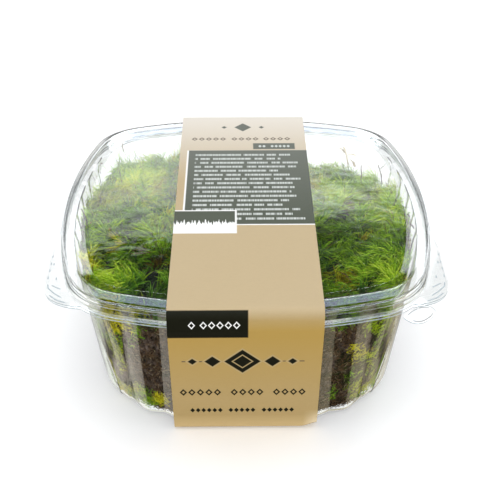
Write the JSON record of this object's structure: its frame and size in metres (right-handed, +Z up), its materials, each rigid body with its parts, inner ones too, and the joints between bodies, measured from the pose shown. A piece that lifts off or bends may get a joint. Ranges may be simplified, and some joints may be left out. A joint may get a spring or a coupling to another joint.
{
  "type": "moss clump in a clear tub",
  "caption": "Live moss clump filling a fluted clear tub with a clear lid, held shut by a printed paper band round the middle.",
  "frame": {"origin": "centre of the footprint, on the surface the package stands on", "axes": "+Z up through the lid, -Y to the front, where the lip has its two pull tabs, +X to the right seen from the front"},
  "size_m": [0.1958, 0.1952, 0.0861],
  "materials": {
    "moss": "rough living moss, green with yellow and orange stems",
    "clear_plastic_tub": "clear glossy thermoformed plastic",
    "clear_plastic_lid": "clear glossy thermoformed plastic",
    "kraft_paper": "uncoated brown paper with green printed blocks"
  },
  "bodies": {
    "root": {"moss_clump": "moss", "tub": "clear_plastic_tub", "lid": "clear_plastic_lid", "paper_band": "kraft_paper"}
  },
  "joints": []
}
